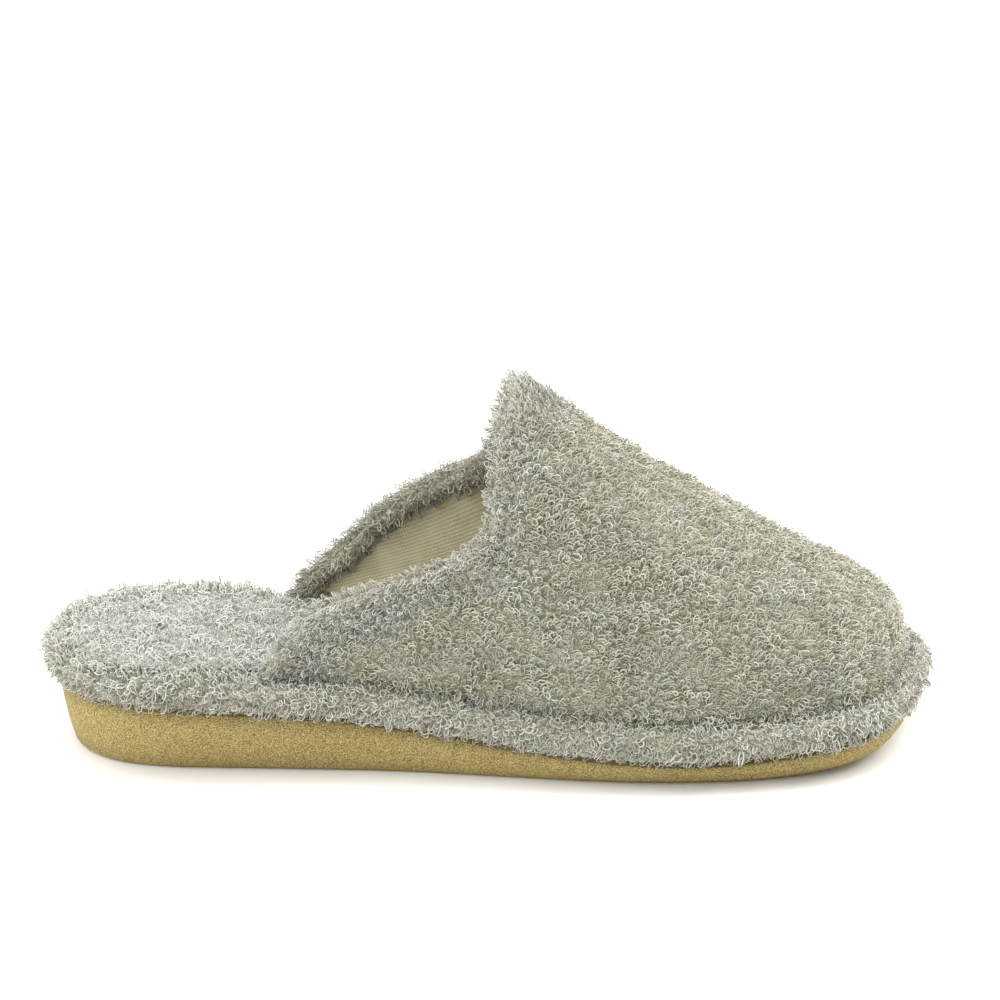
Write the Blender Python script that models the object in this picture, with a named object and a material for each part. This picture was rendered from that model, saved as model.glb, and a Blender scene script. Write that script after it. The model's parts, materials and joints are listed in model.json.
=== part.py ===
"""House slipper for the right foot: a backless mule of looped towelling on a covered platform and a wedge sole.

Metres. +X runs to the toe, +Y to the inner side of the foot and +Z up. The origin is on the floor, under the middle
of the slipper's box. The upper is a hollow vamp whose sections are worked out from the length, the ball width, the
instep height and the heel height below.
"""

from collections import namedtuple

import bpy
import numpy as np

MM = 0.001

# Driving sizes
LENGTH = 258 * MM
BALL_WIDTH = 91 * MM
INSTEP_HEIGHT = 107 * MM
HEEL_HEIGHT = 29 * MM

# Walls, layers and the gap where two pieces meet, wider at the facing, whose facets bend with the throat
GAP = 0.3 * MM
FACING_GAP = 0.4 * MM
UPPER_WALL = 3.4 * MM
INSOLE_THICKNESS = 2.4 * MM
FACING_THICKNESS = 2.3 * MM
FACING_WIDTH = 6.0 * MM

# How far each line lies inside the platform's edge, seen from above
FEATHER_INSET = 7.5 * MM
OUTSOLE_TOP_INSET = 3.2 * MM
TREAD_EDGE_ROUND = 1.6 * MM
TREAD_EDGE_RISE = 1.0 * MM
INSOLE_HEEL_INSET = 6.4 * MM
INSOLE_FORE_INSET = FEATHER_INSET + UPPER_WALL + 0.5 * MM
INSOLE_NARROWS = (0.050, 0.235)

# The upper's sections: fullness of the arch, lean of its crest to the inner side, and where the toe starts to round
ARCH_POWER = 2.15
CREST_LEAN = 2.0 * MM
CREST_WALL_RATIO = 1.18
NOSE_START = 0.876
NOSE_POWER = 3.4
FACING_FLOOR = INSOLE_THICKNESS + GAP + 2.2 * MM

# Mesh fineness, how the upper's rows crowd towards the toe, and the columns the facing stops short at each end
EDGE_SAMPLES = 720
RING_STATIONS = 42
UPPER_COLUMNS = 56
UPPER_ROWS = 20
ROW_CROWDING = 1.7
FACING_END = 2
SHARP_ANGLE = np.radians(50)

EdgePoint = namedtuple("EdgePoint", "place along across")
SoleStation = namedtuple("SoleStation", "along ground joint top undercut_mm")
CrestPoint = namedtuple("CrestPoint", "along height")
CollarPoint = namedtuple("CollarPoint", "place angle along")
WallRow = namedtuple("WallRow", "rise inset_mm")
FacingRow = namedtuple("FacingRow", "from_edge thickness")

# The platform's outline: along as a share of LENGTH from the heel, across as a share of BALL_WIDTH
PLATFORM_EDGE = [
    EdgePoint("heel back", 0.000, 0.003),
    EdgePoint("outer heel corner", 0.039, -0.288),
    EdgePoint("heel outer", 0.140, -0.420),
    EdgePoint("waist outer", 0.380, -0.423),
    EdgePoint("ball outer", 0.651, -0.509),
    EdgePoint("little toe", 0.849, -0.459),
    EdgePoint("outer toe corner", 0.948, -0.303),
    EdgePoint("toe tip", 1.000, 0.115),
    EdgePoint("inner toe corner", 0.979, 0.366),
    EdgePoint("big toe", 0.888, 0.480),
    EdgePoint("ball inner", 0.705, 0.495),
    EdgePoint("waist inner", 0.380, 0.400),
    EdgePoint("heel inner", 0.140, 0.448),
    EdgePoint("inner heel corner", 0.039, 0.314),
]

# The sole from the side: heights as shares of HEEL_HEIGHT, and how far the tread lies inside the platform's edge
SOLE_STATIONS = [
    SoleStation(0.000, 0.000, 0.717, 1.042, 7.0),
    SoleStation(0.045, 0.000, 0.714, 1.039, 9.0),
    SoleStation(0.155, 0.000, 0.700, 1.021, 10.8),
    SoleStation(0.350, 0.000, 0.580, 0.934, 8.2),
    SoleStation(0.500, 0.000, 0.385, 0.745, 7.2),
    SoleStation(0.640, 0.000, 0.258, 0.634, 7.2),
    SoleStation(0.765, 0.000, 0.240, 0.614, 7.0),
    SoleStation(0.870, 0.045, 0.308, 0.640, 6.2),
    SoleStation(1.000, 0.205, 0.455, 0.755, 5.4),
]

# The crest of the upper from the side, carried on behind the throat so that the side wings have sections too
CREST = [
    CrestPoint(0.194, 1.110),
    CrestPoint(0.388, 1.100),
    CrestPoint(0.484, 1.058),
    CrestPoint(0.533, 1.012),
    CrestPoint(0.581, 0.935),
    CrestPoint(0.670, 0.781),
    CrestPoint(0.764, 0.648),
    CrestPoint(0.853, 0.516),
    CrestPoint(0.922, 0.435),
    CrestPoint(1.000, 0.364),
]

# The collar's edge: degrees round the section from the outer feather line, and the share of LENGTH from the heel
COLLAR = [
    CollarPoint("outer wing end", 0.0, 0.244),
    CollarPoint("outer wing foot", 4.6, 0.265),
    CollarPoint("outer wing rise", 9.5, 0.289),
    CollarPoint("outer wing shoulder", 13.8, 0.321),
    CollarPoint("outer wing back", 16.3, 0.357),
    CollarPoint("outer wing middle", 19.4, 0.399),
    CollarPoint("outer wing front", 23.6, 0.444),
    CollarPoint("outer throat corner", 31.7, 0.492),
    CollarPoint("outer tongue edge", 45.0, 0.501),
    CollarPoint("outer tongue shoulder", 66.0, 0.511),
    CollarPoint("tongue peak", 90.0, 0.530),
    CollarPoint("inner tongue shoulder", 114.0, 0.516),
    CollarPoint("inner tongue edge", 131.0, 0.503),
    CollarPoint("inner throat corner", 141.2, 0.495),
    CollarPoint("inner wing front", 148.9, 0.444),
    CollarPoint("inner wing middle", 155.2, 0.398),
    CollarPoint("inner wing back", 161.0, 0.363),
    CollarPoint("inner wing shoulder", 167.5, 0.330),
    CollarPoint("inner wing rise", 171.2, 0.306),
    CollarPoint("inner wing foot", 175.0, 0.284),
    CollarPoint("inner wing end", 180.0, 0.264),
]

# Side profiles, from the lower face (rise 0) to the upper face (rise 1)
PLATFORM_WALL = [
    WallRow(0.00, 4.2),
    WallRow(0.12, 1.7),
    WallRow(0.38, 0.0),
    WallRow(0.66, 0.1),
    WallRow(0.90, 1.9),
    WallRow(1.00, 4.4),
    WallRow(1.00, 6.9),
]
INSOLE_WALL = [WallRow(0.00, 0.9), WallRow(0.40, 0.0), WallRow(0.80, 0.5), WallRow(1.00, 1.8)]
OUTSOLE_BULGE = [(0.28, 0.36), (0.62, 0.72), (1.00, 1.00)]

# The facing across its width, as shares of FACING_WIDTH and FACING_THICKNESS
FACING_PROFILE = [
    FacingRow(0.06, 0.55),
    FacingRow(0.28, 1.00),
    FacingRow(0.68, 1.00),
    FacingRow(1.00, 0.50),
]

COLOURS = {
    "outsole": ("moulded_sole_foam", (0.41, 0.32, 0.13), 0.85),
    "covered_platform": ("towelling_cover", (0.38, 0.37, 0.30), 0.95),
    "insole": ("towelling_sock", (0.50, 0.51, 0.46), 0.95),
    "upper": ("towelling_vamp", (0.38, 0.37, 0.30), 0.95),
    "collar_facing": ("towelling_facing", (0.30, 0.29, 0.23), 0.95),
}


def smooth_curve(stations, values):
    """A cubic curve through the values, as a function of the station, that stays level along a level stretch."""
    x = np.array(stations, float)
    y = np.array(values, float)
    slope = np.gradient(y, x)
    level = np.diff(y) == 0
    slope[:-1][level] = 0
    slope[1:][level] = 0

    def at(where):
        q = np.clip(np.asarray(where, float), x[0], x[-1])
        k = np.clip(np.searchsorted(x, q, "right") - 1, 0, len(x) - 2)
        span = x[k + 1] - x[k]
        s = (q - x[k]) / span
        ease = s * s * (3 - 2 * s)
        return (
            y[k] * (1 - ease)
            + y[k + 1] * ease
            + span * s * (1 - s) * ((1 - s) * slope[k] - s * slope[k + 1])
        )

    return at


def closed_curve(points, count):
    """A smooth closed cubic spline through the points, with its knots set by the root of each chord."""
    p = np.array(points, float)
    n = len(p)
    span = np.sqrt(np.linalg.norm(np.roll(p, -1, 0) - p, axis=1))
    knots = np.concatenate([[0], np.cumsum(span)])
    system = np.zeros((n, n))
    right = np.zeros((n, 2))
    for i in range(n):
        before, after = (i - 1) % n, (i + 1) % n
        system[i, before] += span[before]
        system[i, i] += 2 * (span[before] + span[i])
        system[i, after] += span[i]
        right[i] = 6 * ((p[after] - p[i]) / span[i] - (p[i] - p[before]) / span[before])
    bend = np.linalg.solve(system, right)
    s = np.linspace(0, knots[-1], count, endpoint=False)
    k = np.clip(np.searchsorted(knots, s, "right") - 1, 0, n - 1)
    after = (k + 1) % n
    width = span[k][:, None]
    left = (knots[k + 1] - s)[:, None]
    rest = (s - knots[k])[:, None]
    return (
        (bend[k] * left**3 + bend[after] * rest**3) / (6 * width)
        + (p[k] / width - bend[k] * width / 6) * left
        + (p[after] / width - bend[after] * width / 6) * rest
    )


def centred_edge():
    """The platform's outline from above, with its box centred on the origin."""
    edge = closed_curve([(p.along * LENGTH, p.across * BALL_WIDTH) for p in PLATFORM_EDGE], EDGE_SAMPLES)
    return edge - (edge.min(0) + edge.max(0)) / 2


EDGE = centred_edge()
HEEL_X, TOE_X = EDGE[:, 0].min(), EDGE[:, 0].max()


def station_x(share):
    """X of a share of the length from the heel."""
    return HEEL_X + np.asarray(share, float) * (TOE_X - HEEL_X)


def station_share(x):
    """The share of the length from the heel at x."""
    return (np.asarray(x, float) - HEEL_X) / (TOE_X - HEEL_X)


def sole_curve(column, scale):
    return smooth_curve([s.along for s in SOLE_STATIONS], [scale * getattr(s, column) for s in SOLE_STATIONS])


ground = sole_curve("ground", HEEL_HEIGHT)
joint = sole_curve("joint", HEEL_HEIGHT)
platform_top = sole_curve("top", HEEL_HEIGHT)
undercut = sole_curve("undercut_mm", MM)
crest_height = smooth_curve([c.along for c in CREST], [c.height * INSTEP_HEIGHT for c in CREST])


def inset_edge(distance):
    """The outline moved inwards by a distance, or by one distance for each of its points."""
    along = np.roll(EDGE, -1, 0) - np.roll(EDGE, 1, 0)
    along /= np.linalg.norm(along, axis=1)[:, None]
    inward = np.column_stack([-along[:, 1], along[:, 0]])
    return EDGE + inward * np.broadcast_to(distance, len(EDGE))[:, None]


def outer_and_inner_sides(distance):
    """The two sides of the inset outline, each from heel to toe."""
    edge = inset_edge(distance)
    edge = np.roll(edge, -edge[:, 0].argmin(), axis=0)
    toe = edge[:, 0].argmax()
    return edge[: toe + 1], np.vstack([edge[toe:], edge[:1]])[::-1]


def edge_ring(distance):
    """The inset outline as a ring of paired points: heel, outer side, toe, inner side. Stations crowd at the ends."""
    outer, inner = outer_and_inner_sides(distance)
    share = (1 - np.cos(np.linspace(0, np.pi, RING_STATIONS + 1))) / 2
    x = outer[0, 0] + share * (outer[-1, 0] - outer[0, 0])
    outer_side = np.column_stack([x, np.interp(x, outer[:, 0], outer[:, 1])])
    inner_side = np.column_stack([x, np.interp(x, inner[:, 0], inner[:, 1])])
    return np.vstack([outer_side, inner_side[-2:0:-1]])


def raised(ring, height):
    """A ring of the outline as points in space, at a height that follows the share of the length."""
    return np.column_stack([ring, height(station_share(ring[:, 0]))])


def make_object(name, points, faces):
    """A named mesh object with its material, shaded smooth except at sharp edges."""
    mesh = bpy.data.meshes.new(name)
    mesh.from_pydata([tuple(p) for p in points], [], faces)
    mesh.validate()
    mesh.shade_smooth()
    mesh.set_sharp_from_angle(angle=SHARP_ANGLE)
    material_name, colour, roughness = COLOURS[name]
    material = bpy.data.materials.new(material_name)
    material.use_nodes = True
    shader = material.node_tree.nodes["Principled BSDF"]
    shader.inputs["Base Color"].default_value = (*colour, 1.0)
    shader.inputs["Roughness"].default_value = roughness
    shader.inputs["Metallic"].default_value = 0.0
    mesh.materials.append(material)
    piece = bpy.data.objects.new(name, mesh)
    bpy.context.scene.collection.objects.link(piece)
    return piece


def stacked_solid(name, rings):
    """A closed solid from paired rings, lowest first, with a lower and an upper face of strips across the shoe."""
    size = len(rings[0])
    half = size // 2
    faces = []
    for level in range(len(rings) - 1):
        low, high = level * size, (level + 1) * size
        for k in range(size):
            after = (k + 1) % size
            faces.append((low + k, low + after, high + after, high + k))
    for start, turned in ((0, True), ((len(rings) - 1) * size, False)):
        for k in range(half):
            strip = [k, k + 1, size - k - 1, (size - k) % size]
            strip = [start + i for i in dict.fromkeys(strip)]
            faces.append(tuple(reversed(strip)) if turned else tuple(strip))
    return make_object(name, np.vstack(rings), faces)


def build_outsole():
    """The moulded wedge sole: flat from heel to ball, sprung at the toe, with walls that lean in to the tread."""
    lean = undercut(station_share(EDGE[:, 0]))
    rings = [raised(edge_ring(lean + TREAD_EDGE_ROUND), ground)]
    rings.append(raised(edge_ring(lean), lambda s: ground(s) + TREAD_EDGE_RISE))
    for rise, reach in OUTSOLE_BULGE:
        ring = edge_ring(lean + (OUTSOLE_TOP_INSET - lean) * reach)
        rings.append(raised(ring, lambda s, rise=rise: ground(s) + (joint(s) - ground(s)) * rise))
    return stacked_solid("outsole", rings)


def build_platform():
    """The platform wrapped in towelling, whose rounded edge shows as a band between upper and sole."""
    rings = []
    for row in PLATFORM_WALL:
        rings.append(
            raised(
                edge_ring(row.inset_mm * MM),
                lambda s, rise=row.rise: joint(s) + GAP + (platform_top(s) - joint(s) - GAP) * rise,
            )
        )
    return stacked_solid("covered_platform", rings)


def insole_inset():
    """How far the insole's edge lies inside the platform's: wide at the bare heel, narrow inside the upper."""
    start, end = INSOLE_NARROWS
    s = np.clip((station_share(EDGE[:, 0]) - start) / (end - start), 0, 1)
    return INSOLE_HEEL_INSET + (INSOLE_FORE_INSET - INSOLE_HEEL_INSET) * s * s * (3 - 2 * s)


def build_insole():
    """The towelling sock that lies on the platform, out to the edge at the heel and inside the upper in front."""
    edge_inset = insole_inset()
    rings = []
    for row in INSOLE_WALL:
        rings.append(
            raised(
                edge_ring(edge_inset + row.inset_mm * MM),
                lambda s, rise=row.rise: platform_top(s) + GAP + INSOLE_THICKNESS * rise,
            )
        )
    return stacked_solid("insole", rings)


class UpperSurface:
    """One face of the upper at a depth inside its outer face: a rounded arch over the feather line at each station."""

    def __init__(self, depth):
        self.depth = depth
        self.outer, self.inner = outer_and_inner_sides(FEATHER_INSET + depth)
        self.tip_x = self.outer[-1, 0]
        self.nose_x = station_x(NOSE_START)

    def seat(self, x):
        return platform_top(station_share(x)) + GAP

    def point(self, x, angle):
        """The point at station x, at an angle round the arch from the outer feather line to the inner one."""
        x = np.minimum(np.asarray(x, float), self.tip_x)
        outer_y = np.interp(x, self.outer[:, 0], self.outer[:, 1])
        inner_y = np.interp(x, self.inner[:, 0], self.inner[:, 1])
        seat = self.seat(x)
        nose = np.clip((x - self.nose_x) / (self.tip_x - self.nose_x), 0, 1)
        full_height = crest_height(station_share(x)) - CREST_WALL_RATIO * self.depth - seat
        height = full_height * np.sqrt(1 - nose**NOSE_POWER)
        crest_y = (outer_y + inner_y) / 2 + CREST_LEAN
        side_y = np.where(np.cos(angle) > 0, outer_y, inner_y)
        across = np.abs(np.cos(angle)) ** (2 / ARCH_POWER)
        up = np.abs(np.sin(angle)) ** (2 / ARCH_POWER)
        return np.stack([x, crest_y + (side_y - crest_y) * across, seat + height * up], -1)

    def lowest_angle(self, x, height):
        """The angle at which the arch reaches a height above its seat."""
        crest = self.point(x, np.pi / 2)[..., 2] - self.seat(x)
        return np.arcsin(np.clip(height / crest, 0, 1) ** (ARCH_POWER / 2))


def collar_line(count):
    """Stations and angles of evenly spread points along the collar's edge, from the outer wing to the inner one."""
    surface = UpperSurface(0)
    x = station_x([c.along for c in COLLAR])
    angle = np.radians([c.angle for c in COLLAR])
    steps = np.linalg.norm(np.diff(surface.point(x, angle), axis=0), axis=1)
    run = np.concatenate([[0], np.cumsum(steps)])
    where = np.linspace(0, run[-1], count)
    return smooth_curve(run, x)(where), smooth_curve(run, angle)(where)


def build_upper():
    """The vamp: a hollow shell from the collar's edge to the toe, open at the throat and underneath."""
    collar_x, angle = collar_line(UPPER_COLUMNS + 1)
    run = np.linspace(0, 1, UPPER_ROWS + 1)[:-1]
    forward = 1 - (1 - run) ** ROW_CROWDING
    points, faces = [], []
    columns = UPPER_COLUMNS + 1
    sheet_size = columns * UPPER_ROWS + 1
    for depth in (0, UPPER_WALL):
        surface = UpperSurface(depth)
        for share in forward:
            points.append(surface.point(collar_x + (surface.tip_x - collar_x) * share, angle))
        points.append(surface.point(np.array([surface.tip_x]), np.array([0.0])))
    for sheet in (0, 1):
        start = sheet * sheet_size
        tip = start + sheet_size - 1
        for j in range(UPPER_COLUMNS):
            for i in range(UPPER_ROWS):
                a = start + i * columns + j
                last = i == UPPER_ROWS - 1
                face = (a, tip, a + 1) if last else (a, a + columns, a + columns + 1, a + 1)
                faces.append(tuple(reversed(face)) if sheet else face)
    for j in range(UPPER_COLUMNS):
        faces.append((j, j + 1, sheet_size + j + 1, sheet_size + j))
    for column, turned in ((0, False), (UPPER_COLUMNS, True)):
        line = [i * columns + column for i in range(UPPER_ROWS)] + [sheet_size - 1]
        for a, b in zip(line, line[1:]):
            face = (a, sheet_size + a, sheet_size + b, b)
            faces.append(tuple(reversed(face)) if turned else face)
    return make_object("upper", np.vstack(points), faces)


def facing_place(surface, x, angle, distance):
    """Stations and angles at a distance in from the collar's edge, square to it along the surface."""
    nudge = 0.1 * MM
    by_x = (surface.point(x + nudge, angle) - surface.point(x - nudge, angle)) / (2 * nudge)
    by_angle = (surface.point(x, angle + nudge) - surface.point(x, angle - nudge)) / (2 * nudge)
    edge = np.gradient(surface.point(x, angle), axis=0)
    inward = np.cross(np.cross(by_x, by_angle), edge)
    inward /= np.linalg.norm(inward, axis=1)[:, None]
    inward *= np.sign(inward[:, :1])
    moved_x, moved_angle = x.copy(), angle.copy()
    for k in range(len(x)):
        step = np.linalg.lstsq(np.column_stack([by_x[k], by_angle[k]]), inward[k] * distance, rcond=None)[0]
        moved_x[k] += step[0]
        moved_angle[k] += step[1]
    lowest = surface.lowest_angle(moved_x, FACING_FLOOR)
    return moved_x, np.clip(moved_angle, lowest, np.pi - lowest)


def build_facing():
    """The towelling turned in along the collar, a soft band on the inside of the upper."""
    x, angle = collar_line(UPPER_COLUMNS + 1)
    x, angle = x[FACING_END:-FACING_END], angle[FACING_END:-FACING_END]
    back = UpperSurface(UPPER_WALL + FACING_GAP)
    ring_points = []
    for row in FACING_PROFILE:
        place = facing_place(back, x, angle, row.from_edge * FACING_WIDTH)
        ring_points.append(back.point(*place))
    for row in reversed(FACING_PROFILE):
        front = UpperSurface(UPPER_WALL + FACING_GAP + row.thickness * FACING_THICKNESS)
        place = facing_place(back, x, angle, row.from_edge * FACING_WIDTH)
        ring_points.append(front.point(*place))
    columns, around = len(x), len(ring_points)
    faces = []
    for i in range(around):
        after = (i + 1) % around
        for j in range(columns - 1):
            faces.append(
                (i * columns + j, after * columns + j, after * columns + j + 1, i * columns + j + 1)
            )
    faces.append(tuple(reversed([i * columns for i in range(around)])))
    faces.append(tuple(i * columns + columns - 1 for i in range(around)))
    return make_object("collar_facing", np.vstack(ring_points), faces)


def main():
    for old in list(bpy.data.objects):
        bpy.data.objects.remove(old)
    slipper = bpy.data.objects.new("slipper", None)
    bpy.context.scene.collection.objects.link(slipper)
    for build in (build_outsole, build_platform, build_insole, build_upper, build_facing):
        build().parent = slipper


main()
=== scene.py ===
"""Looks of the towelling house slipper: pile, cloths, lining and foam sole, on a pale floor."""

import json
import math
from collections import namedtuple

import bmesh
import bpy
import numpy as np
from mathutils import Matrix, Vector
from mathutils.bvhtree import BVHTree

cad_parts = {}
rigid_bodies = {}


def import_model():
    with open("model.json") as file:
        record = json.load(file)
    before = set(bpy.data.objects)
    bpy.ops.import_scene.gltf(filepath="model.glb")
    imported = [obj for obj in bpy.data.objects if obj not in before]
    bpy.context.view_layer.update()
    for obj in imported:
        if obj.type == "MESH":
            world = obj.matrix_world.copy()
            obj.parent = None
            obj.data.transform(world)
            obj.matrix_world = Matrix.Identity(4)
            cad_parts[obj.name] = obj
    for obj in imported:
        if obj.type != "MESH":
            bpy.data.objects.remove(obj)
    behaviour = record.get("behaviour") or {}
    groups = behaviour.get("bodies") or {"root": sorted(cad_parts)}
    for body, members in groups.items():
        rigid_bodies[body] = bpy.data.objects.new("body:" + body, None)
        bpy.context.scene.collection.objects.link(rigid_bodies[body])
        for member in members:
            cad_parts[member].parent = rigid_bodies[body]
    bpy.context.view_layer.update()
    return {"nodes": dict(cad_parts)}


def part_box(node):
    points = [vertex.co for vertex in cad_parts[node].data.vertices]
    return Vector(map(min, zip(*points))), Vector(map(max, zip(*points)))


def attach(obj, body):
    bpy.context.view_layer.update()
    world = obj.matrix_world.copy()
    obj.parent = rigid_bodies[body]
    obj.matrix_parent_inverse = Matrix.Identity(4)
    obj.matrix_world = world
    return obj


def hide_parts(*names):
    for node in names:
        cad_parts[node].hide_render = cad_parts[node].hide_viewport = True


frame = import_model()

MM = 0.001

# Solids: nearer than the first they touch, and corners nearer than the second are one
TOUCHING = 1.0 * MM
WELD = 0.01 * MM
# A look straight out from a face starts this far off it, and at a corner this share further in
OFF_FACE_MM = 0.02
CORNER_INSET = 0.1

# Cloths: the solids' faces are the middle of the pile, so each ground cloth lies this far below
LONG_PILE_DEPTH = 0.8 * MM
SHORT_PILE_DEPTH = 0.7 * MM
# The order of the upper's two materials
GROUND_INDEX, LINING_INDEX = 0, 1
# The collar's folded edge, as far as it reaches out from the facing
COLLAR_FOLD = 7.5 * MM
# The facing's pile goes on inside each wing's end for this far from the facing, and its cloth shows
# at its own edges; the upper's faces near the facing are cut smaller for that
WING_END_REACH = 8 * MM
FACING_EDGE = 1.6 * MM
NEAR_FACING = 12 * MM
NEAR_FACING_CUTS = 4
# The vamp's foot is as far up from the platform as its loops fall over the seam
VAMP_FOOT = 5 * MM
# Where the vamp's pile is parted, as a share of its length from the collar
VAMP_SPLIT = 0.55
# The rand's cloth goes on over the platform's top for this far, to meet the sock
RAND_TURN_IN = 5.6 * MM
TURN_IN_RINGS = 4
# By how much a face looks up, the rand is rim above the first, hem below the second, with shorter
# loops, and bare below the third; the sock has loops above the last
RIM_RISE = 0.6
HEM_TURN = -0.45
HEM_FALL = -0.7
SOCK_UNDERSIDE = -0.9

# Yarn: its radius, and the sides of the tube that stands for it; no loop starts along the last
LONG_YARN = 0.15 * MM
SOFT_YARN = 0.13 * MM
FINE_YARN = 0.11 * MM
YARN_SIDES = 3
ASKEW = (0.3, 1.0, 0.2)
# A loop's ring: where it starts, how far it turns, and how uneven it is once and twice round
RING_START_DEG = -62
RING_TURN_DEG = 304
UNEVEN_ONCE = 0.10
UNEVEN_TWICE = 0.06
UNEVEN_PHASE = 9
# A loop's two roots: how far they are off its middle, as shares of ring and pitch, and how deep
ROOT_OFF_RING = 0.25
ROOT_OFF_PITCH = 0.2
ROOT_DEPTH = 0.5 * MM

LoopShape = namedtuple("LoopShape", "name steps ring_mm stretch stem_mm lean_deg pitch_mm")
VAMP_LOOPS = [
    LoopShape("curl", 5, 0.78, 1.00, 0.9, 70, 0.5),
    LoopShape("curl_small", 5, 0.62, 1.05, 1.1, 62, 0.4),
    LoopShape("curl_up", 5, 0.66, 1.20, 0.7, 30, 0.6),
    LoopShape("teardrop", 5, 0.60, 1.60, 0.9, 68, 0.5),
    LoopShape("teardrop_long", 5, 0.56, 2.20, 0.7, 72, 0.5),
    LoopShape("teardrop_low", 5, 0.64, 1.60, 0.5, 78, 0.5),
    LoopShape("finger", 4, 0.42, 2.60, 0.7, 70, 0.4),
    LoopShape("finger_long", 5, 0.40, 3.20, 0.5, 76, 0.5),
    LoopShape("finger_up", 4, 0.42, 2.40, 0.5, 50, 0.6),
    LoopShape("twist", 5, 0.58, 1.80, 0.6, 60, 1.2),
]
RAND_LOOPS = [
    LoopShape("finger", 4, 0.45, 2.10, 0.7, 62, 0.4),
    LoopShape("finger_long", 5, 0.48, 2.60, 0.7, 70, 0.5),
    LoopShape("finger_out", 4, 0.45, 2.20, 0.5, 40, 0.6),
    LoopShape("teardrop", 5, 0.64, 1.60, 0.8, 64, 0.5),
    LoopShape("curl", 5, 0.75, 1.00, 0.9, 68, 0.5),
    LoopShape("curl_out", 5, 0.68, 1.20, 0.7, 28, 0.6),
    LoopShape("wide", 5, 0.90, 0.90, 0.7, 58, 0.9),
    LoopShape("low", 5, 0.70, 1.10, 0.3, 80, 0.5),
]
RIM_LOOPS = [
    LoopShape("standing", 5, 0.56, 1.80, 1.1, 16, 0.6),
    LoopShape("leaning", 5, 0.60, 1.60, 1.2, 42, 0.6),
    LoopShape("finger_up", 4, 0.40, 2.80, 1.0, 28, 0.6),
    LoopShape("finger_low", 4, 0.42, 2.60, 1.1, 64, 0.5),
    LoopShape("fallen", 5, 0.60, 1.60, 1.3, 66, 0.5),
    LoopShape("curl", 5, 0.68, 1.00, 1.4, 70, 0.5),
]
SOCK_LOOPS = [
    LoopShape("pressed", 5, 0.74, 1.00, 0.6, 70, 0.5),
    LoopShape("pressed_small", 4, 0.58, 1.15, 0.7, 60, 0.4),
    LoopShape("half_up", 4, 0.56, 1.30, 0.6, 35, 0.6),
    LoopShape("stroke", 4, 0.42, 2.30, 0.6, 62, 0.5),
    LoopShape("stroke_low", 4, 0.42, 2.50, 0.5, 74, 0.5),
    LoopShape("flat", 5, 0.82, 0.95, 0.8, 78, 0.4),
]
FOLD_LOOPS = [
    LoopShape("stroke", 4, 0.36, 2.80, 0.8, 58, 0.4),
    LoopShape("stroke_low", 4, 0.38, 2.60, 0.6, 72, 0.4),
    LoopShape("teardrop_up", 5, 0.48, 2.00, 0.8, 34, 0.5),
    LoopShape("teardrop", 5, 0.52, 1.80, 0.9, 62, 0.5),
    LoopShape("curl", 5, 0.62, 1.05, 0.9, 66, 0.5),
    LoopShape("curl_up", 5, 0.58, 1.30, 1.0, 30, 0.5),
]
# The loops that each pile picks from, with their yarn's radius
LOOP_STOCKS = {
    "vamp": (VAMP_LOOPS, LONG_YARN),
    "rand": (RAND_LOOPS, LONG_YARN),
    "rim": (RIM_LOOPS, SOFT_YARN),
    "fold": (FOLD_LOOPS, FINE_YARN),
    "sock": (SOCK_LOOPS, SOFT_YARN),
}

# Cotton: each yarn and each ground runs from a dark colour over a middle one to a light one
COTTON_STOPS = (0.0, 0.5, 1.0)
YARN_COLOURS = {
    "grey": ("#A3A08B", "#BAB8A5", "#D0CFC1"),
    "fine": ("#A8A699", "#BEBCB0", "#D1D0C7"),
    # The facing's yarn is a darker copy of the vamp's: painted shade inside the collar
    "shaded": ("#7F7B66", "#9C9882", "#BBB8A5"),
    "dull": ("#8D8B7B", "#AEAD9F", "#D1D0C6"),
    # The rims' yarn is a lighter copy of the rand's dull yarn: painted light on the rand's top and
    # in its crease by the vamp
    "light": ("#A9A79A", "#C0BFB1", "#D4D3C8"),
    "pale": ("#B7B8AC", "#CACCC2", "#DBDDD6"),
}
# Each ground is a darker copy of its yarn: painted shade deep under the pile
GROUND_COLOURS = {
    "grey": ("#888571", "#AAA793", "#C9C7B4"),
    "dull": ("#7C7966", "#A09D8A", "#C2C0AD"),
    "pale": ("#828378", "#A4A69A", "#C4C6BC"),
}

# The ground's rings of yarn: how their lines wander, the spacing and start of three layers, the
# radius of a ring and half its strand as shares of the spacing, and how light the lower layers
# are, darker as painted shade deep in the pile
TANGLE_SIZE = 1.3 * MM
TANGLE_REACH = 0.9 * MM
RING_LAYERS = [
    (2.2 * MM, (0.0, 0.0, 0.0)),
    (1.8 * MM, (0.31, 0.17, 0.53)),
    (2.0 * MM, (0.71, 0.93, 0.23)),
]
RING_RADIUS = 0.36
RING_STRAND = 0.19
LOWER_RINGS_PAINTED_SHADE = 0.8

# How a pile grows: the nap is the way that its loops have fallen, give or take the spread
Pile = namedtuple("Pile", "loops yarn spacing_mm stray nap spread_deg smallest largest clump")
VAMP_PILE = Pile("vamp", "grey", 1.02, 0.30, (0.87, 0.0, 0.5), 70, 0.80, 1.30, 0.18)
VAMP_FOOT_PILE = Pile("vamp", "grey", 0.98, 0.40, (0.3, 0.0, -1.0), 110, 0.80, 1.30, 0.15)
FOLD_PILE = Pile("fold", "fine", 0.90, 0.35, (-0.8, 0.0, 0.4), 85, 1.00, 1.45, 0.12)
RAND_PILE = Pile("rand", "dull", 1.04, 0.35, (-0.45, 0.0, -1.0), 65, 0.85, 1.35, 0.26)
HEM_PILE = Pile("rand", "dull", 1.04, 0.35, (-1.0, 0.0, -0.25), 60, 0.65, 1.05, 0.15)
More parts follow.
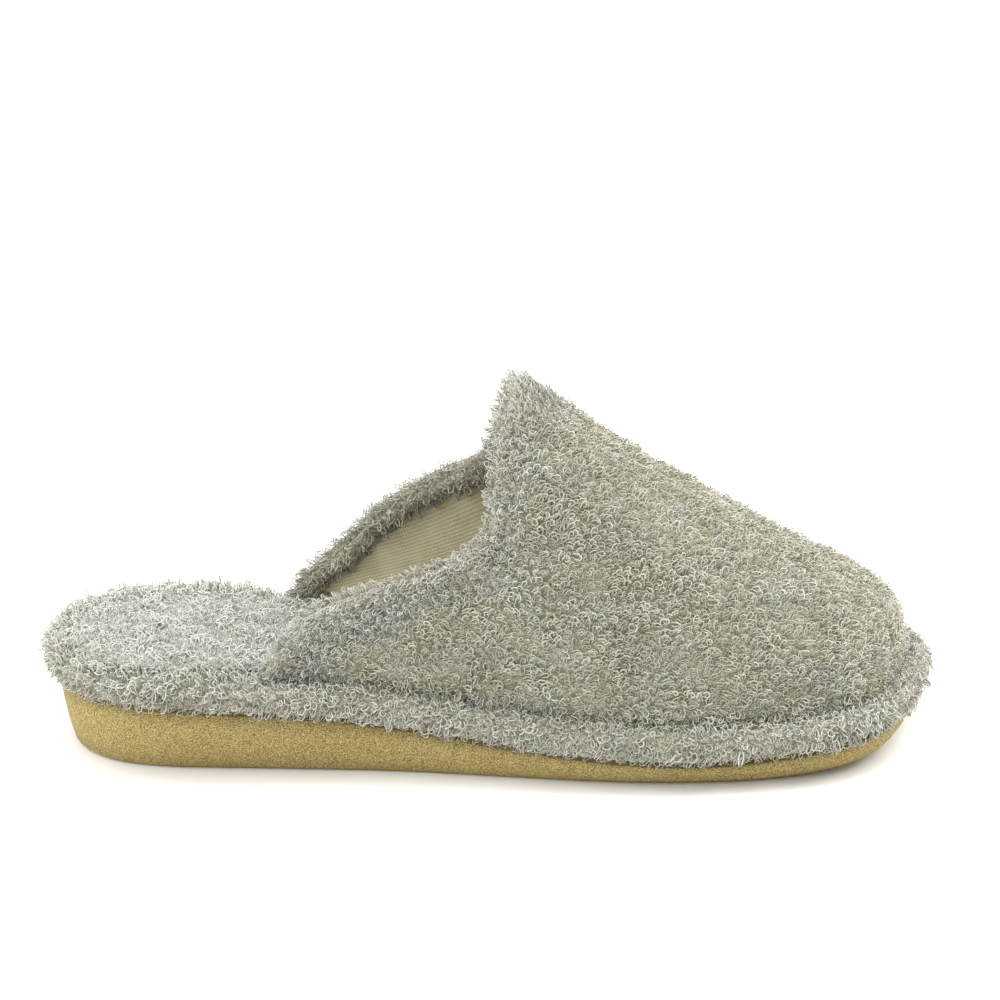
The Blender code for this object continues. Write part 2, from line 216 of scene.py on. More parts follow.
# The rims take the lighter yarn, painted light on the rand's top and in its crease by the vamp
HEEL_RIM_PILE = Pile("rim", "light", 0.95, 0.40, (-1.0, 0.0, 0.0), 150, 1.00, 1.55, 0.15)
TOE_RIM_PILE = Pile("sock", "light", 1.06, 0.40, (-1.0, 0.0, 0.0), 150, 0.95, 1.40, 0.15)
SOCK_PILE = Pile("sock", "pale", 1.12, 0.40, (0.7, 0.7, 0.0), 160, 0.90, 1.40, 0.28)
HIDDEN_SOCK_PILE = Pile("sock", "pale", 3.6, 0.40, (0.7, 0.7, 0.0), 140, 0.90, 1.30, 0.15)
# The facing and the wings' ends take the darker yarn, painted shade inside the collar
FACING_PILE = Pile("vamp", "shaded", 1.05, 0.40, (-0.5, 0.0, -0.6), 100, 1.00, 1.55, 0.15)
# Points tried to the square of the spacing, before those too close together are dropped
CROWD = 5.0
# The size of the clumps that swell or shrink, and the noise values between which they do
CLUMP_SIZE = 8 * MM
CLUMP_LOW, CLUMP_HIGH = 0.35, 0.65
# What a patch's seed is raised by for the pick of a loop, its size and its tone
PICK_SEED, SIZE_SEED, TONE_SEED = 11.0, 23.0, 37.0

# Each patch of pile is a piece: its record slot, its pile and its seed
Patch = namedtuple("Patch", "slot pile seed")
PATCHES = {
    "outer_quarter_pile": Patch("upper_towelling", VAMP_PILE, 100),
    "inner_quarter_pile": Patch("upper_towelling", VAMP_PILE, 101),
    "outer_toe_pile": Patch("upper_towelling", VAMP_PILE, 102),
    "inner_toe_pile": Patch("upper_towelling", VAMP_PILE, 103),
    "vamp_foot_pile": Patch("upper_towelling", VAMP_FOOT_PILE, 104),
    "collar_fold_pile": Patch("upper_towelling", FOLD_PILE, 110),
    "wing_end_pile": Patch("upper_towelling", FACING_PILE, 111),
    "outer_rand_pile": Patch("platform_towelling", RAND_PILE, 200),
    "inner_rand_pile": Patch("platform_towelling", RAND_PILE, 201),
    "rand_hem_pile": Patch("platform_towelling", HEM_PILE, 202),
    "heel_rim_pile": Patch("platform_towelling", HEEL_RIM_PILE, 210),
    "toe_rim_pile": Patch("platform_towelling", TOE_RIM_PILE, 211),
    "heel_sock_pile": Patch("insole_towelling", SOCK_PILE, 300),
    "toe_sock_pile": Patch("insole_towelling", HIDDEN_SOCK_PILE, 301),
    "facing_pile": Patch("facing_towelling", FACING_PILE, 400),
}

# The lining's cloth goes round the foot about this axis, its ribs at this angle to the foot
LINING_AXIS_HEIGHT = 38 * MM
LINING_RADIUS = 32 * MM
LINING_TURN_DEG = 19
# A wave texture has 20 / (2 pi) bands to the unit
WAVE = 2 * math.pi / 20

# Camera: the photo's angle to the shoe, the sole a little left of and well below the middle
CAMERA_DISTANCE = 1.15
CAMERA_ELEVATION = 23.5
CAMERA_LENS_MM = 140.8
CAMERA_SENSOR_MM = 36.0
CAMERA_RAISE = 3.366
CAMERA_TURN = 0.139

# Light: an even white tent, a wide panel overhead and a smaller one on each side
FLOOR_HALF_WIDTH = 4.0
WHITE = (1.0, 1.0, 1.0, 1.0)
SKY_STRENGTH = 0.67
OVERHEAD_STRENGTH = 2.7
OVERHEAD_WIDTH_DEG = 70
OVERHEAD_TILT_DEG = (-3, -8, 0)
SidePanel = namedtuple("SidePanel", "name place aim width watts")
SIDE_PANELS = [
    SidePanel("heel_panel", (-0.88, -0.46, 0.42), (-0.10, 0.0, 0.03), 0.8, 6.8),
    SidePanel("toe_panel", (0.80, 0.25, 0.75), (0.08, 0.0, 0.03), 0.8, 11.0),
]


def linear(hex_colour):
    """An sRGB hex colour as linear RGBA."""
    parts = [int(hex_colour[i : i + 2], 16) / 255 for i in (1, 3, 5)]
    return (*[p / 12.92 if p <= 0.04045 else ((p + 0.055) / 1.055) ** 2.4 for p in parts], 1.0)


def add(tree, kind, inputs=None, **settings):
    """Adds a node with its settings; each input takes a value, or a socket to link from."""
    made = tree.nodes.new(kind)
    for name, value in settings.items():
        setattr(made, name, value)
    for name, value in (inputs or {}).items():
        if isinstance(value, bpy.types.NodeSocket):
            tree.links.new(value, made.inputs[name])
        else:
            made.inputs[name].default_value = value
    return made


def maths(tree, operation, *values):
    """The result of a sum, from values or sockets."""
    return add(tree, "ShaderNodeMath", dict(enumerate(values)), operation=operation).outputs[0]


def weighted(tree, start, *parts):
    """A start value with (value, weight) pairs added to it."""
    for value, weight in parts:
        start = maths(tree, "MULTIPLY_ADD", value, weight, start)
    return start


def rescaled(tree, value, least, most, low, high):
    """A value that is low up to the least, high from the most on, and runs evenly between."""
    ends = {"From Min": least, "From Max": most, "To Min": low, "To Max": high}
    return add(tree, "ShaderNodeMapRange", {"Value": value, **ends}).outputs[0]


def noise(tree, place, size, detail):
    """Soft random spots about as large as a size."""
    values = {"Vector": place, "Scale": 1 / size, "Detail": detail}
    return add(tree, "ShaderNodeTexNoise", values).outputs[0]


def cells(tree, place, size):
    """How far it is to the middle of the nearest of random cells, in cells of a size."""
    values = {"Vector": place, "Scale": 1 / size}
    return add(tree, "ShaderNodeTexVoronoi", values).outputs["Distance"]


def bands(tree, place, axis, spacing, wander=0.0):
    """Soft bands at a spacing along an axis, which wander a little."""
    values = {"Vector": place, "Scale": WAVE / spacing, "Distortion": wander, "Detail": 1.5}
    return add(tree, "ShaderNodeTexWave", values, bands_direction=axis).outputs["Fac"]


def ramp(tree, value, stops):
    """A colour for a value, from (place, hex colour) pairs."""
    made = add(tree, "ShaderNodeValToRGB", {"Fac": value})
    elements = made.color_ramp.elements
    while len(elements) < len(stops):
        elements.new(1.0)
    for element, (place, colour) in zip(elements, stops):
        element.position = place
        element.color = linear(colour)
    return made.outputs["Color"]


def new_material(name, **shader_values):
    """A material, its tree, its Principled shader with plain values set, and the object's place."""
    material = bpy.data.materials.new(name)
    material.use_nodes = True
    tree = material.node_tree
    shader = tree.nodes["Principled BSDF"]
    for socket, value in shader_values.items():
        shader.inputs[socket.replace("_", " ")].default_value = value
    return material, tree, shader, add(tree, "ShaderNodeTexCoord").outputs["Object"]


def colour_and_bump(tree, shader, colour, height, strength, distance):
    """Gives a shader its colour, and bump from a height."""
    bump = {"Height": height, "Strength": strength, "Distance": distance}
    tree.links.new(colour, shader.inputs["Base Color"])
    tree.links.new(add(tree, "ShaderNodeBump", bump).outputs["Normal"], shader.inputs["Normal"])


def nap_painted_shade(tree, place):
    """Painted light and shade where the pile lies one way or another: soft patches, long along the
    nap.
    """
    turn = {"Rotation": (0, math.radians(28), 0), "Scale": (0.5, 1, 1)}
    turned = add(tree, "ShaderNodeMapping", {"Vector": place, **turn})
    return noise(tree, turned.outputs["Vector"], 6 * MM, 1.5)


def uneven_dye(tree, place, colour):
    """Soft patches where the dye is a little greyer or a little more olive."""
    strength = rescaled(tree, noise(tree, place, 9 * MM, 1.0), 0.3, 0.7, 0.82, 1.18)
    values = {"Saturation": strength, "Color": colour}
    return add(tree, "ShaderNodeHueSaturation", values).outputs["Color"]


def cotton_loop_yarn(name, colours):
    """Soft twisted cotton, dyed in the yarn: dull, a little fuzzy, each loop of another grey."""
    material, tree, shader, place = new_material(
        name + "_cotton_loop_yarn", Roughness=0.92, Sheen_Weight=0.35, Sheen_Roughness=0.5
    )
    # The fibres are about 0.02 mm across: drawn as fuzz as coarse as the yarn so that they show
    fibre = noise(tree, place, 0.45 * MM, 2.0)
    tone = add(tree, "ShaderNodeAttribute", attribute_name="yarn_tone").outputs["Fac"]
    cloud = nap_painted_shade(tree, place)
    # Each loop's tone differs at random; the nap's patches over it are painted light and shade
    shade = weighted(tree, -0.45, (fibre, 0.3), (tone, 0.5), (cloud, 1.1))
    dyed = uneven_dye(tree, place, ramp(tree, shade, list(zip(COTTON_STOPS, colours))))
    colour_and_bump(tree, shader, dyed, fibre, 0.5, 0.1 * MM)
    return material


def tangled_cotton_ground(name, colours):
    """The depth of the pile: tangled rings of yarn, light on top, with painted shade below and in
    the gaps.
    """
    material, tree, shader, place = new_material(
        name + "_cotton_pile", Roughness=0.95, Sheen_Weight=0.2
    )
    wander = {"Vector": place, "Scale": 1 / TANGLE_SIZE, "Detail": 1.0}
    wander = add(tree, "ShaderNodeTexNoise", wander).outputs["Color"]
    wander = {0: wander, 1: (TANGLE_REACH,) * 3, 2: place}
    wander = add(tree, "ShaderNodeVectorMath", wander, operation="MULTIPLY_ADD").outputs[0]
    layers = []
    for spacing, start in RING_LAYERS:
        moved = add(tree, "ShaderNodeVectorMath", {0: wander, 1: start}, operation="ADD")
        from_middle = cells(tree, moved.outputs[0], spacing)
        off_ring = maths(tree, "ABSOLUTE", maths(tree, "SUBTRACT", from_middle, RING_RADIUS))
        layers.append(rescaled(tree, off_ring, 0.0, RING_STRAND, 1.0, 0.0))
    # The lower rings and the gaps between strands are darker, painted shade in the depth of the
    # pile
    top, *below = layers
    below = maths(tree, "MULTIPLY", maths(tree, "MAXIMUM", *below), LOWER_RINGS_PAINTED_SHADE)
    strands = maths(tree, "MAXIMUM", top, below)
    # The nap's patches here are painted light and shade as well
    shade = weighted(tree, -0.3, (nap_painted_shade(tree, place), 0.6), (strands, 1.0))
    dyed = uneven_dye(tree, place, ramp(tree, shade, list(zip(COTTON_STOPS, colours))))
    colour_and_bump(tree, shader, dyed, strands, 0.9, 0.6 * MM)
    return material


def woven_cotton_lining():
    """Woven cotton lining: beige, with fine ribs along the foot and finer ones across, uneven."""
    material, tree, shader, place = new_material(
        "woven_cotton_lining", Roughness=0.85, Sheen_Weight=0.15
    )
    # The cloth goes round the foot: its pattern lies by the length along and the angle round it
    ways = add(tree, "ShaderNodeSeparateXYZ", {"Vector": place}).outputs
    height = maths(tree, "SUBTRACT", ways["Z"], LINING_AXIS_HEIGHT)
    girth = maths(tree, "MULTIPLY", maths(tree, "ARCTAN2", ways["Y"], height), LINING_RADIUS)
    laid = add(tree, "ShaderNodeCombineXYZ", {"X": ways["X"], "Y": girth}).outputs[0]
    turn = (0, 0, math.radians(LINING_TURN_DEG))
    laid = add(tree, "ShaderNodeMapping", {"Vector": laid, "Rotation": turn}).outputs["Vector"]
    # The threads are about half a millimetre apart: drawn at about twice that so that they show
    ribs = bands(tree, laid, "Y", 1.2 * MM, 1.0)
    picks = bands(tree, laid, "X", 0.85 * MM, 1.4)
    weave = weighted(tree, ribs, (picks, 0.5))
    shade = weighted(tree, noise(tree, place, 9 * MM, 3.0), (weave, 0.35))
    colour = ramp(tree, shade, [(0.4, "#B3A981"), (1.0, "#DDD5B7")])
    colour_and_bump(tree, shader, colour, weave, 0.3, 0.25 * MM)
    return material


def moulded_foam_rubber():
    """Moulded microcellular foam: a matt tan skin with a fine sandy grain, ribbed underneath."""
    material, tree, shader, place = new_material("moulded_foam_rubber", Roughness=0.78, IOR=1.5)
    # The open cells are about 0.3 mm across: drawn a little coarser so that they show
    pit = rescaled(tree, cells(tree, place, 0.45 * MM), 0.1, 0.8, 0.35, 0.0)
    depth = weighted(tree, pit, (noise(tree, place, 0.4 * MM, 1.0), 1.2))
    shade = weighted(tree, depth, (noise(tree, place, 22 * MM, 2.0), 0.04))
    colour = ramp(tree, shade, [(0.40, "#C3AE70"), (0.77, "#96844F"), (1.0, "#62532B")])
    normal = add(tree, "ShaderNodeNewGeometry").outputs["Normal"]
    rise = add(tree, "ShaderNodeSeparateXYZ", {"Vector": normal}).outputs["Z"]
    underneath = rescaled(tree, rise, -0.98, -0.9, 1.0, 0.0)
    tread = maths(tree, "MULTIPLY", bands(tree, place, "X", 5 * MM), underneath)
    relief = maths(tree, "SUBTRACT", maths(tree, "MULTIPLY", tread, 3.0), depth)
    colour_and_bump(tree, shader, colour, relief, 0.6, 0.3 * MM)
    return material


def studio_floor_paint():
    """Matt white studio paper, hardly mottled."""
    material, tree, shader, place = new_material("studio_floor_paint", Roughness=0.9)
    mottle = noise(tree, place, 1 / 3, 2.0)
    colour = ramp(tree, mottle, [(0.3, "#F4F4F2"), (0.7, "#F7F7F6")])
    tree.links.new(colour, shader.inputs["Base Color"])
    return material


def loop_path(shape):
    """A loop's line, in metres: out of the cloth, round a ring that leans along +Y, back in."""
    steps = np.linspace(0, 1, shape.steps + 1)
    turn = np.radians(RING_START_DEG + steps * RING_TURN_DEG)
    ring = shape.ring_mm
    once = UNEVEN_ONCE * np.sin(turn + shape.lean_deg)
    uneven = 1 + once + UNEVEN_TWICE * np.sin(2 * turn + shape.pitch_mm * UNEVEN_PHASE)
    x = ring * uneven * np.cos(turn)
    z = shape.stretch * ring * (1 + uneven * np.sin(turn))
    y = shape.pitch_mm * (0.5 - steps)
    lean = np.radians(shape.lean_deg)
    forward = y * np.cos(lean) + z * np.sin(lean)
    points = np.column_stack([x, forward, z * np.cos(lean) - y * np.sin(lean)])
    points[:, 2] += shape.stem_mm
    off_x, off_y = ROOT_OFF_RING * ring, ROOT_OFF_PITCH * shape.pitch_mm
    start = [off_x, off_y, -ROOT_DEPTH / MM]
    end = [-off_x, -off_y, -ROOT_DEPTH / MM]
    return np.vstack([start, points, end]) * MM


def yarn_tube(name, path, radius):
    """A closed tube along a path."""
    ahead = np.gradient(path, axis=0)
    ahead /= np.linalg.norm(ahead, axis=1)[:, None]
    side = np.cross(ahead[0], ASKEW)
    points = []
    for place, way in zip(path, ahead):
        side = side - way * side.dot(way)
        side /= np.linalg.norm(side)
        across = np.cross(way, side)
        for k in range(YARN_SIDES):
            angle = 2 * math.pi * k / YARN_SIDES
            points.append(place + radius * (side * math.cos(angle) + across * math.sin(angle)))
    last = len(points) - YARN_SIDES
    faces = [tuple(reversed(range(YARN_SIDES))), tuple(range(last, len(points)))]
    for here in range(0, last, YARN_SIDES):
        there = here + YARN_SIDES
        for k in range(YARN_SIDES):
            after = (k + 1) % YARN_SIDES
            faces.append((here + k, here + after, there + after, there + k))
    mesh = bpy.data.meshes.new(name)
    mesh.from_pydata([tuple(p) for p in points], [], faces)
    mesh.shade_smooth()
    return bpy.data.objects.new(name, mesh)


def loop_stock(name, shapes, radius):
    """A collection of loop shapes for the pile to pick from, kept out of the scene."""
    stock = bpy.data.collections.new(name)
    for shape in shapes:
        stock.objects.link(yarn_tube(name + "_" + shape.name, loop_path(shape), radius))
    return stock


def random_value(tree, kind, least, most, seed):
    """A random value for each loop, of a kind that has its own sockets on the node."""
    low, high, result = {"FLOAT_VECTOR": (0, 1, 0), "FLOAT": (2, 3, 1), "INT": (4, 5, 2)}[kind]
    values = {low: least, high: most, "Seed": seed}
    return add(tree, "FunctionNodeRandomValue", values, data_type=kind).outputs[result]


def pile_tree():
    """Nodes that cover a cloth with loops, spaced at random and fallen along the nap or near it."""
    tree = bpy.data.node_groups.new("towelling_pile", "GeometryNodeTree")
    for name, kind in (
        ("Cloth", "NodeSocketGeometry"),
        ("Loops", "NodeSocketCollection"),
        ("Loop Count", "NodeSocketInt"),
        ("Yarn", "NodeSocketMaterial"),
        ("Spacing", "NodeSocketFloat"),
        ("Stray", "NodeSocketFloat"),
        ("Nap", "NodeSocketVector"),
        ("Spread", "NodeSocketFloat"),
        ("Smallest", "NodeSocketFloat"),
        ("Largest", "NodeSocketFloat"),
        ("Clump", "NodeSocketFloat"),
        ("Seed", "NodeSocketInt"),
    ):
        tree.interface.new_socket(name, in_out="INPUT", socket_type=kind)
    tree.interface.new_socket("Pile", in_out="OUTPUT", socket_type="NodeSocketGeometry")
    given = add(tree, "NodeGroupInput").outputs
    pick_seed, size_seed, tone_seed = (
        maths(tree, "ADD", given["Seed"], raised) for raised in (PICK_SEED, SIZE_SEED, TONE_SEED)
    )

    # Where the loops are rooted
    crowd = maths(tree, "MULTIPLY", maths(tree, "POWER", given["Spacing"], -2.0), CROWD)
    roots = add(
        tree,
        "GeometryNodeDistributePointsOnFaces",
        {
            "Mesh": given["Cloth"],
            "Distance Min": given["Spacing"],
            "Density Max": crowd,
            "Seed": given["Seed"],
        },
        distribute_method="POISSON",
    )

    # Which way each stands, falls and turns
    stray = random_value(tree, "FLOAT_VECTOR", (-1.0,) * 3, (1.0,) * 3, given["Seed"])
    stray = {0: stray, "Scale": given["Stray"]}
    stray = add(tree, "ShaderNodeVectorMath", stray, operation="SCALE")
    way = {0: roots.outputs["Normal"], 1: stray.outputs[0]}
    way = add(tree, "ShaderNodeVectorMath", way, operation="ADD")
    stand = add(tree, "FunctionNodeAlignRotationToVector", {"Vector": way.outputs[0]}, axis="Z")
    fallen = add(
        tree,
        "FunctionNodeAlignRotationToVector",
        {"Rotation": stand.outputs[0], "Vector": given["Nap"]},
        axis="Y",
        pivot_axis="Z",
    )
    back = maths(tree, "MULTIPLY", given["Spread"], -1.0)
    spin = random_value(tree, "FLOAT", back, given["Spread"], given["Seed"])
    spin = add(tree, "FunctionNodeAxisAngleToRotation", {"Axis": (0.0, 0.0, 1.0), "Angle": spin})
    turned = add(
        tree,
        "FunctionNodeRotateRotation",
        {"Rotation": fallen.outputs[0], "Rotate By": spin.outputs[0]},
        rotation_space="LOCAL",
    )

    # Which loop it is and how large, with clumps that swell or shrink
    last = maths(tree, "SUBTRACT", given["Loop Count"], 1.0)
    pick = random_value(tree, "INT", 0, last, pick_seed)
    size = random_value(tree, "FLOAT", given["Smallest"], given["Largest"], size_seed)
    matted = noise(tree, add(tree, "GeometryNodeInputPosition").outputs[0], CLUMP_SIZE, 1.0)
    shrunk = maths(tree, "SUBTRACT", 1.0, given["Clump"])
    swollen = maths(tree, "ADD", 1.0, given["Clump"])
    swell = rescaled(tree, matted, CLUMP_LOW, CLUMP_HIGH, shrunk, swollen)
    stock = add(
        tree,
        "GeometryNodeCollectionInfo",
        {"Collection": given["Loops"], "Separate Children": True, "Reset Children": True},
    )
    loops = add(
        tree,
        "GeometryNodeInstanceOnPoints",
        {
            "Points": roots.outputs["Points"],
            "Instance": stock.outputs[0],
            "Pick Instance": True,
            "Instance Index": pick,
            "Rotation": turned.outputs[0],
            "Scale": maths(tree, "MULTIPLY", size, swell),
        },
    )

    # Its tone, which the yarn's material reads
    tone = random_value(tree, "FLOAT", 0.0, 1.0, tone_seed)
    toned = add(
        tree,
        "GeometryNodeStoreNamedAttribute",
        {"Geometry": loops.outputs[0], "Name": "yarn_tone", "Value": tone},
        data_type="FLOAT",
        domain="INSTANCE",
    )
    real = add(tree, "GeometryNodeRealizeInstances", {"Geometry": toned.outputs[0]})
    yarn = {"Geometry": real.outputs[0], "Material": given["Yarn"]}
    dyed = add(tree, "GeometryNodeSetMaterial", yarn)
    add(tree, "NodeGroupOutput", {"Pile": dyed.outputs[0]})
    return tree


def solids_tree(nodes):
    """The faces of some of the solids, to look along."""
    points, faces = [], []
    for node in nodes:
        solid = frame["nodes"][node].data
        start = len(points)
        points += [v.co.copy() for v in solid.vertices]
        faces += [[start + i for i in p.vertices] for p in solid.polygons]
    return BVHTree.FromPolygons(points, faces)


SOLIDS = solids_tree(frame["nodes"])
FACING = solids_tree(["collar_facing"])
PLATFORM = solids_tree(["covered_platform"])


def middle(face):
    """The middle of a face."""
    return face.calc_center_median()


def way_out(face):
    """How far it is from a face, straight out, to the next solid."""
    start = middle(face) + face.normal * OFF_FACE_MM * MM
    distance = SOLIDS.ray_cast(start, face.normal)[3]
    return math.inf if distance is None else distance


def partly_open(face):
    """Whether there is nothing over some corner of a face."""
    inner = [corner.co.lerp(middle(face), CORNER_INSET) for corner in face.verts]
    spots = [spot + face.normal * OFF_FACE_MM * MM for spot in inner]
    return any(SOLIDS.ray_cast(spot, face.normal)[0] is None for spot in spots)


def within(face, solids, distance):
    """Whether a face's middle is within a distance of some solids."""
    return solids.find_nearest(middle(face), distance)[0] is not None


def by_facing(face, distance):
    """Whether a face of the upper's inside is within a distance of the facing."""
    return way_out(face) < math.inf and within(face, FACING, distance)


def on_wing_end(face):
    """Whether a face is on a wing's end, behind the facing or under its end."""
    spot = middle(face)
    edge = frame["nodes"]["collar_facing"].data.vertices
    same_side = [v.co.x for v in edge if v.co.y * spot.y > 0]
    return spot.x < min(same_side) + WING_END_REACH


def joined_copy(node):
    """A solid's faces with their corners joined."""
    shape = bmesh.new()
    shape.from_mesh(frame["nodes"][node].data)
    bmesh.ops.remove_doubles(shape, verts=shape.verts, dist=WELD)
    shape.normal_update()
    return shape


def sink(faces, depth):
    """Moves faces in by a depth, square to themselves."""
    chosen = set(faces)
    moves = {}
    for corner in {v for f in faces for v in f.verts}:
        way = sum((f.normal for f in corner.link_faces if f in chosen), Vector())
        moves[corner] = way.normalized() * depth
    for corner, move in moves.items():
        corner.co -= move


def finished(name, mesh, materials=()):
    """A piece of the slipper in its place."""
    for material in materials:
        mesh.materials.append(material)
    piece = bpy.data.objects.new(name, mesh)
    bpy.context.scene.collection.objects.link(piece)
    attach(piece, "root")
    return piece


def cloth_piece(name, shape, node, materials):
    """A ground cloth or moulding made from a solid's faces, which it replaces."""
    mesh = bpy.data.meshes.new(name)
    shape.to_mesh(mesh)
    mesh.shade_smooth()
    piece = finished(name, mesh, materials)
    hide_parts(node)
    return piece


# What the pieces of pile and the cloths are made with: nodes, loop stocks and materials
Kit = namedtuple("Kit", "nodes loops yarns grounds")


def pile_piece(kit, name, faces):
    """A patch of pile on the given faces, as one mesh of loops."""
    slot, pile, seed = PATCHES[name]
    corners = {}
    for face in faces:
        for corner in face.verts:
            corners.setdefault(corner, len(corners))
    points = [tuple(corner.co) for corner in corners]
    cloth = bpy.data.meshes.new(name + "_cloth")
    cloth.from_pydata(points, [], [[corners[c] for c in f.verts] for f in faces])
    holder = bpy.data.objects.new(name + "_cloth", cloth)
    bpy.context.scene.collection.objects.link(holder)
    modifier = holder.modifiers.new("pile", "NODES")
    modifier.node_group = kit.nodes
    values = {
        "Loops": kit.loops[pile.loops],
        "Loop Count": len(kit.loops[pile.loops].objects),
        "Yarn": kit.yarns[pile.yarn],
        "Spacing": pile.spacing_mm * MM,
        "Stray": pile.stray,
        "Nap": pile.nap,
        "Spread": math.radians(pile.spread_deg),
        "Smallest": pile.smallest,
        "Largest": pile.largest,
        "Clump": pile.clump,
        "Seed": seed,
    }
    for item in kit.nodes.interface.items_tree:
        if item.name in values:
            modifier[item.identifier] = values[item.name]
    grown = holder.evaluated_get(bpy.context.evaluated_depsgraph_get())
    mesh = bpy.data.meshes.new_from_object(grown)
    mesh.name = name
    bpy.data.objects.remove(holder)
    return finished(name, mesh)


def build_upper(kit):
    """The vamp: its pile in patches, the collar's fold, the wings' ends, its cloth and lining."""
    upper = joined_copy("upper")
    edges = {edge for face in upper.faces if by_facing(face, NEAR_FACING) for edge in face.edges}
    edges = sorted(edges, key=lambda edge: edge.index)
    bmesh.ops.subdivide_edges(upper, edges=edges, cuts=NEAR_FACING_CUTS, use_grid_fill=True)
    upper.normal_update()
    outside = [f for f in upper.faces if way_out(f) == math.inf]
    inside = [f for f in upper.faces if way_out(f) < math.inf]
    wing_ends = [f for f in inside if on_wing_end(f) and way_out(f) > TOUCHING]
    for face in inside:
        looped = face in wing_ends or by_facing(face, FACING_EDGE)
        face.material_index = GROUND_INDEX if looped else LINING_INDEX
    fold = [f for f in outside if within(f, FACING, COLLAR_FOLD)]
    unfolded = [f for f in outside if not within(f, FACING, COLLAR_FOLD)]
    foot = [f for f in unfolded if within(f, PLATFORM, VAMP_FOOT)]
    body = [f for f in unfolded if not within(f, PLATFORM, VAMP_FOOT)]
    sink(outside, LONG_PILE_DEPTH)
    upper.normal_update()

    low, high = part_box("upper")
    centre_y = (low.y + high.y) / 2
    split_x = low.x + (high.x - low.x) * VAMP_SPLIT
    quarters = [f for f in body if middle(f).x < split_x]
    toe = [f for f in body if middle(f).x >= split_x]
    for part, faces in (("quarter_pile", quarters), ("toe_pile", toe)):
        pile_piece(kit, "outer_" + part, [f for f in faces if middle(f).y < centre_y])
        pile_piece(kit, "inner_" + part, [f for f in faces if middle(f).y >= centre_y])
    pile_piece(kit, "vamp_foot_pile", foot)
    pile_piece(kit, "wing_end_pile", wing_ends)
    pile_piece(kit, "collar_fold_pile", fold)
    cloths = [kit.grounds["grey"], woven_cotton_lining()]
    vamp = cloth_piece("vamp_cloth_and_lining", upper, "upper", cloths)


def build_platform(kit):
    """The platform's cover: its rand, the hem under it, and the rim that meets sock and vamp."""
    vamp_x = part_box("upper")[0].x
    platform = joined_copy("covered_platform")
    rand = [f for f in platform.faces if way_out(f) > TOUCHING]
    shown = set(rand)
    covered = [f for f in platform.faces if f not in shown and f.normal.z > RIM_RISE]
    ring_width = RAND_TURN_IN / TURN_IN_RINGS
    turned_in = []
    for _ in range(TURN_IN_RINGS):
        ring = bmesh.ops.inset_region(
            platform, faces=covered, thickness=ring_width, use_even_offset=True
        )
        turned_in += ring["faces"]
    platform.normal_update()
    sides = [f for f in rand if f.normal.z <= RIM_RISE]
    rim = [f for f in rand if f.normal.z > RIM_RISE]
    by_vamp = [f for f in rim if middle(f).x >= vamp_x]
    rim += [f for f in turned_in if partly_open(f)]
    heel_rim = [f for f in rim if middle(f).x < vamp_x]
    toe_rim = [f for f in rim if middle(f).x >= vamp_x]
    hem = [f for f in sides if HEM_FALL < f.normal.z <= HEM_TURN]
    sink(sides + by_vamp, LONG_PILE_DEPTH)
    platform.normal_update()
    pile_piece(kit, "rand_hem_pile", hem)
    pile_piece(kit, "heel_rim_pile", heel_rim)
    pile_piece(kit, "toe_rim_pile", toe_rim)
    for name, sign in (("outer_rand_pile", -1), ("inner_rand_pile", 1)):
        faces = [f for f in sides if f.normal.z > HEM_TURN and middle(f).y * sign > 0]
        pile_piece(kit, name, faces)
    slot, cloths = "platform_towelling", [kit.grounds["dull"]]
    cover = cloth_piece("platform_cloth", platform, "covered_platform", cloths)


def build_sock(kit):
    """The sock: loops all over its top and edge, sparse under the vamp where little shows."""
    throat_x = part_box("collar_facing")[1].x
    insole = joined_copy("insole")
    top = [f for f in insole.faces if way_out(f) > TOUCHING]
    looped = [f for f in insole.faces if f.normal.z > SOCK_UNDERSIDE]
    sink(top, SHORT_PILE_DEPTH)
    pile_piece(kit, "heel_sock_pile", [f for f in looped if middle(f).x < throat_x])
    pile_piece(kit, "toe_sock_pile", [f for f in looped if middle(f).x >= throat_x])
    sock = cloth_piece("sock_cloth", insole, "insole", [kit.grounds["pale"]])


def build_facing(kit):
    """The facing inside the collar."""
    facing = joined_copy("collar_facing")
    front = [f for f in facing.faces if way_out(f) > TOUCHING]
    sink(front, SHORT_PILE_DEPTH)
    pile_piece(kit, "facing_pile", front)
    cloths = [kit.grounds["grey"]]
    cloth_piece("facing_cloth", facing, "collar_facing", cloths)


def build_slipper():
    """The whole slipper, sole first."""
    kit = Kit(
        pile_tree(),
        {name: loop_stock(name + "_loop", *stock) for name, stock in LOOP_STOCKS.items()},
        {name: cotton_loop_yarn(name, colours) for name, colours in YARN_COLOURS.items()},
        {name: tangled_cotton_ground(name, colours) for name, colours in GROUND_COLOURS.items()},
    )
    sole = joined_copy("outsole")
    cloth_piece("foam_outsole", sole, "outsole", [moulded_foam_rubber()])
    build_upper(kit)
    build_platform(kit)
    build_sock(kit)
    build_facing(kit)


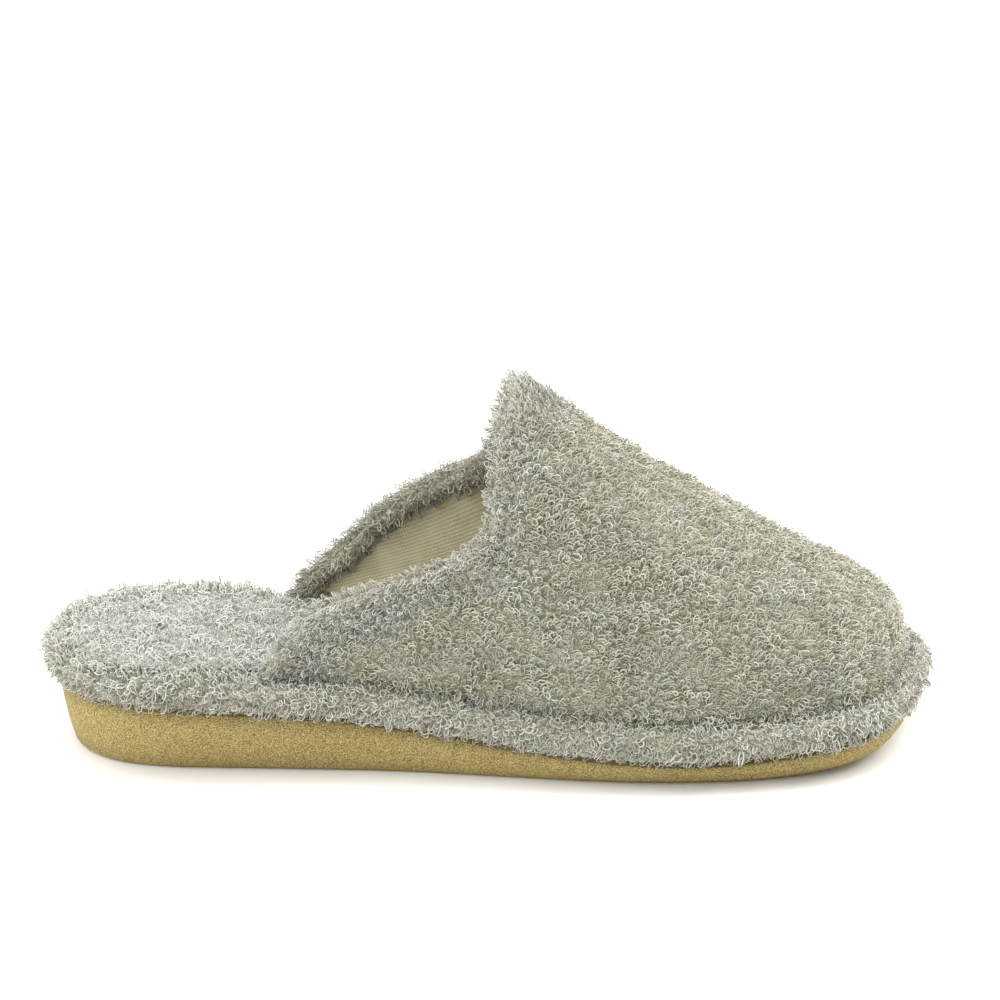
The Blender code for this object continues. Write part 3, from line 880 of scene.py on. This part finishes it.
def hang_light(name, kind, energy):
    """A light in the scene, and the lamp that holds it."""
    light = bpy.data.lights.new(name, kind)
    light.energy = energy
    lamp = bpy.data.objects.new(name, light)
    bpy.context.scene.collection.objects.link(lamp)
    return light, lamp


def build_studio():
    """A white floor under a soft overhead light, and the photo's camera."""
    scene = bpy.context.scene
    half = FLOOR_HALF_WIDTH
    corners = [(-half, -half, 0), (half, -half, 0), (half, half, 0), (-half, half, 0)]
    floor_mesh = bpy.data.meshes.new("studio_floor")
    floor_mesh.from_pydata(corners, [], [(0, 1, 2, 3)])
    floor_mesh.materials.append(studio_floor_paint())
    floor = bpy.data.objects.new("studio_floor", floor_mesh)
    scene.collection.objects.link(floor)

    world = bpy.data.worlds.new("studio_sky")
    world.use_nodes = True
    sky = world.node_tree.nodes["Background"].inputs
    sky["Color"].default_value = WHITE
    sky["Strength"].default_value = SKY_STRENGTH
    scene.world = world
    light, lamp = hang_light("overhead_panel", "SUN", OVERHEAD_STRENGTH)
    light.angle = math.radians(OVERHEAD_WIDTH_DEG)
    lamp.rotation_euler = [math.radians(tilt) for tilt in OVERHEAD_TILT_DEG]
    for panel in SIDE_PANELS:
        light, lamp = hang_light(panel.name, "AREA", panel.watts)
        light.shape = "DISK"
        light.size = panel.width
        lamp.location = panel.place
        aim = Vector(panel.aim) - Vector(panel.place)
        lamp.rotation_euler = aim.to_track_quat("-Z", "Y").to_euler()

    lens = bpy.data.cameras.new("photo_camera")
    lens.lens = CAMERA_LENS_MM
    lens.sensor_width = CAMERA_SENSOR_MM
    camera = bpy.data.objects.new("photo_camera", lens)
    elevation = math.radians(CAMERA_ELEVATION)
    back, up = CAMERA_DISTANCE * math.cos(elevation), CAMERA_DISTANCE * math.sin(elevation)
    camera.location = (0, -back, up)
    tilt = math.radians(90 - CAMERA_ELEVATION + CAMERA_RAISE)
    camera.rotation_euler = (tilt, 0, math.radians(-CAMERA_TURN))
    scene.collection.objects.link(camera)
    scene.camera = camera
    scene.view_settings.view_transform = "Standard"


build_slipper()
build_studio()
